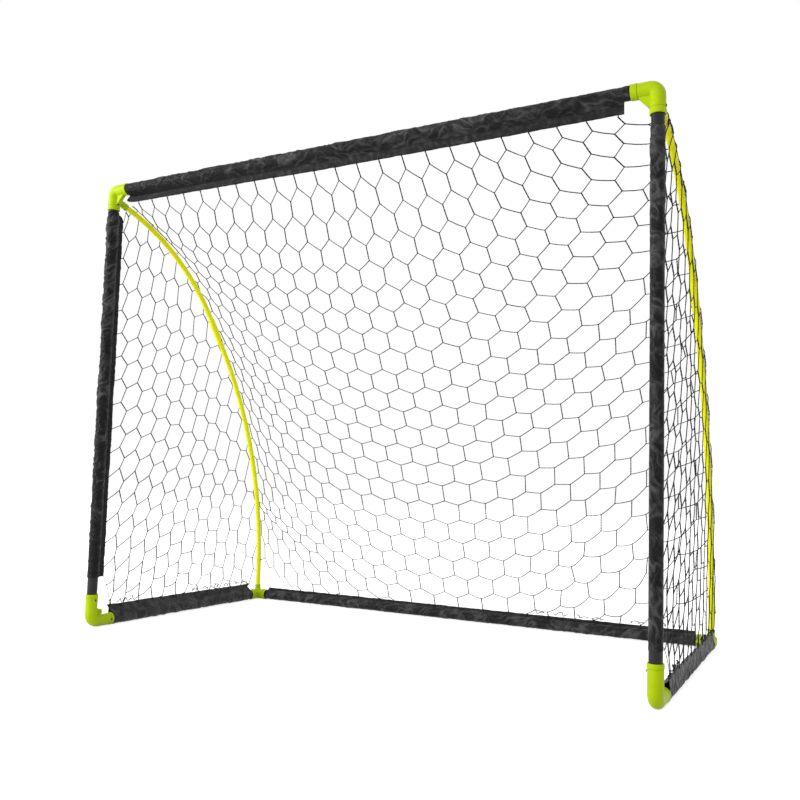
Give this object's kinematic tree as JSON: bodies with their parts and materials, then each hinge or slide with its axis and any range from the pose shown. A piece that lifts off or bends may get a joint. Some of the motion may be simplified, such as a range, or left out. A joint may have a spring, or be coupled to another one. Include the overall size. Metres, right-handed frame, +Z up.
{
  "type": "training goal",
  "caption": "Free-standing goal of plastic tubes in corner fittings, with bowed side arcs, fabric sleeves, a hexagon-mesh net and sprung snap buttons.",
  "frame": {"origin": "on the ground, in the middle of the goal's footprint", "axes": "+X across the mouth to the right seen from in front, +Y from the mouth to the back, +Z up"},
  "size_m": [2.003, 0.98, 1.6],
  "materials": {
    "frame_tube": "satin black extruded tube",
    "arc_tube": "satin yellow extruded tube",
    "fitting": "satin lime moulded plastic",
    "sleeve": "woven black polyester, creased",
    "net": "braided black cord",
    "button_steel": "dark zinc-plated steel"
  },
  "bodies": {
    "frame": {"crossbar_left": "frame_tube", "crossbar_right": "frame_tube", "back_bar_left": "frame_tube", "back_bar_right": "frame_tube", "post_lower_left": "frame_tube", "post_lower_right": "frame_tube", "post_upper_left": "frame_tube", "post_upper_right": "frame_tube", "rail_left": "frame_tube", "rail_right": "frame_tube", "arc_lower_left": "arc_tube", "arc_lower_right": "arc_tube", "arc_upper_left": "arc_tube", "arc_upper_right": "arc_tube", "coupling_left": "arc_tube", "coupling_right": "arc_tube", "top_fitting_left": "fitting", "top_fitting_right": "fitting", "front_fitting_left": "fitting", "front_fitting_right": "fitting", "rear_fitting_left": "fitting", "rear_fitting_right": "fitting", "crossbar_sleeve": "sleeve", "back_bar_sleeve": "sleeve", "post_sleeve_left": "sleeve", "post_sleeve_right": "sleeve", "rail_sleeve_left": "sleeve", "rail_sleeve_right": "sleeve", "net_left": "net", "net_right": "net", "net_back": "net", "springs_left": "button_steel", "springs_right": "button_steel"},
    "button_crossbar_left": {"button_crossbar_left": "button_steel"},
    "button_crossbar_right": {"button_crossbar_right": "button_steel"},
    "button_post_inner_left": {"button_post_inner_left": "button_steel"},
    "button_post_inner_right": {"button_post_inner_right": "button_steel"},
    "button_post_outer_left": {"button_post_outer_left": "button_steel"},
    "button_post_outer_right": {"button_post_outer_right": "button_steel"},
    "button_arc_head_left": {"button_arc_head_left": "button_steel"},
    "button_arc_head_right": {"button_arc_head_right": "button_steel"},
    "button_post_foot_left": {"button_post_foot_left": "button_steel"},
    "button_post_foot_right": {"button_post_foot_right": "button_steel"},
    "button_rail_front_left": {"button_rail_front_left": "button_steel"},
    "button_rail_front_right": {"button_rail_front_right": "button_steel"},
    "button_rail_rear_left": {"button_rail_rear_left": "button_steel"},
    "button_rail_rear_right": {"button_rail_rear_right": "button_steel"},
    "button_back_bar_left": {"button_back_bar_left": "button_steel"},
    "button_back_bar_right": {"button_back_bar_right": "button_steel"},
    "button_coupling_left": {"button_coupling_left": "button_steel"},
    "button_coupling_right": {"button_coupling_right": "button_steel"}
  },
  "joints": [
    {"name": "press_crossbar_left", "type": "slide", "parent": "frame", "child": "button_crossbar_left", "axis": [0, 0, 1], "range_m": [0, 0.0055], "stiffness_N_per_m": 400, "springref_m": -0.002, "deforming": ["springs_left"]},
    {"name": "press_crossbar_right", "type": "slide", "parent": "frame", "child": "button_crossbar_right", "axis": [0, 0, 1], "range_m": [0, 0.0055], "stiffness_N_per_m": 400, "springref_m": -0.002, "deforming": ["springs_right"]},
    {"name": "press_post_inner_left", "type": "slide", "parent": "frame", "child": "button_post_inner_left", "axis": [-1, 0, 0], "range_m": [0, 0.0055], "stiffness_N_per_m": 400, "springref_m": -0.002, "deforming": ["springs_left"]},
    {"name": "press_post_inner_right", "type": "slide", "parent": "frame", "child": "button_post_inner_right", "axis": [1, 0, 0], "range_m": [0, 0.0055], "stiffness_N_per_m": 400, "springref_m": -0.002, "deforming": ["springs_right"]},
    {"name": "press_post_outer_left", "type": "slide", "parent": "frame", "child": "button_post_outer_left", "axis": [1, 0, 0], "range_m": [0, 0.0055], "stiffness_N_per_m": 400, "springref_m": -0.002, "deforming": ["springs_left"]},
    {"name": "press_post_outer_right", "type": "slide", "parent": "frame", "child": "button_post_outer_right", "axis": [-1, 0, 0], "range_m": [0, 0.0055], "stiffness_N_per_m": 400, "springref_m": -0.002, "deforming": ["springs_right"]},
    {"name": "press_arc_head_left", "type": "slide", "parent": "frame", "child": "button_arc_head_left", "axis": [0, 0.2588, 0.9659], "range_m": [0, 0.005], "stiffness_N_per_m": 400, "springref_m": -0.002, "deforming": ["springs_left"]},
    {"name": "press_arc_head_right", "type": "slide", "parent": "frame", "child": "button_arc_head_right", "axis": [0, 0.2588, 0.9659], "range_m": [0, 0.005], "stiffness_N_per_m": 400, "springref_m": -0.002, "deforming": ["springs_right"]},
    {"name": "press_post_foot_left", "type": "slide", "parent": "frame", "child": "button_post_foot_left", "axis": [-1, 0, 0], "range_m": [0, 0.0055], "stiffness_N_per_m": 400, "springref_m": -0.002, "deforming": ["springs_left"]},
    {"name": "press_post_foot_right", "type": "slide", "parent": "frame", "child": "button_post_foot_right", "axis": [1, 0, 0], "range_m": [0, 0.0055], "stiffness_N_per_m": 400, "springref_m": -0.002, "deforming": ["springs_right"]},
    {"name": "press_rail_front_left", "type": "slide", "parent": "frame", "child": "button_rail_front_left", "axis": [-1, 0, 0], "range_m": [0, 0.0055], "stiffness_N_per_m": 400, "springref_m": -0.002, "deforming": ["springs_left"]},
    {"name": "press_rail_front_right", "type": "slide", "parent": "frame", "child": "button_rail_front_right", "axis": [1, 0, 0], "range_m": [0, 0.0055], "stiffness_N_per_m": 400, "springref_m": -0.002, "deforming": ["springs_right"]},
    {"name": "press_rail_rear_left", "type": "slide", "parent": "frame", "child": "button_rail_rear_left", "axis": [0, 0, -1], "range_m": [0, 0.0055], "stiffness_N_per_m": 400, "springref_m": -0.002, "deforming": ["springs_left"]},
    {"name": "press_rail_rear_right", "type": "slide", "parent": "frame", "child": "button_rail_rear_right", "axis": [0, 0, -1], "range_m": [0, 0.0055], "stiffness_N_per_m": 400, "springref_m": -0.002, "deforming": ["springs_right"]},
    {"name": "press_back_bar_left", "type": "slide", "parent": "frame", "child": "button_back_bar_left", "axis": [0, 0, -1], "range_m": [0, 0.0055], "stiffness_N_per_m": 400, "springref_m": -0.002, "deforming": ["springs_left"]},
    {"name": "press_back_bar_right", "type": "slide", "parent": "frame", "child": "button_back_bar_right", "axis": [0, 0, -1], "range_m": [0, 0.0055], "stiffness_N_per_m": 400, "springref_m": -0.002, "deforming": ["springs_right"]},
    {"name": "press_coupling_left", "type": "slide", "parent": "frame", "child": "button_coupling_left", "axis": [-1, 0, 0], "range_m": [0, 0.005], "stiffness_N_per_m": 400, "springref_m": -0.002, "deforming": ["springs_left"]},
    {"name": "press_coupling_right", "type": "slide", "parent": "frame", "child": "button_coupling_right", "axis": [1, 0, 0], "range_m": [0, 0.005], "stiffness_N_per_m": 400, "springref_m": -0.002, "deforming": ["springs_right"]}
  ]
}
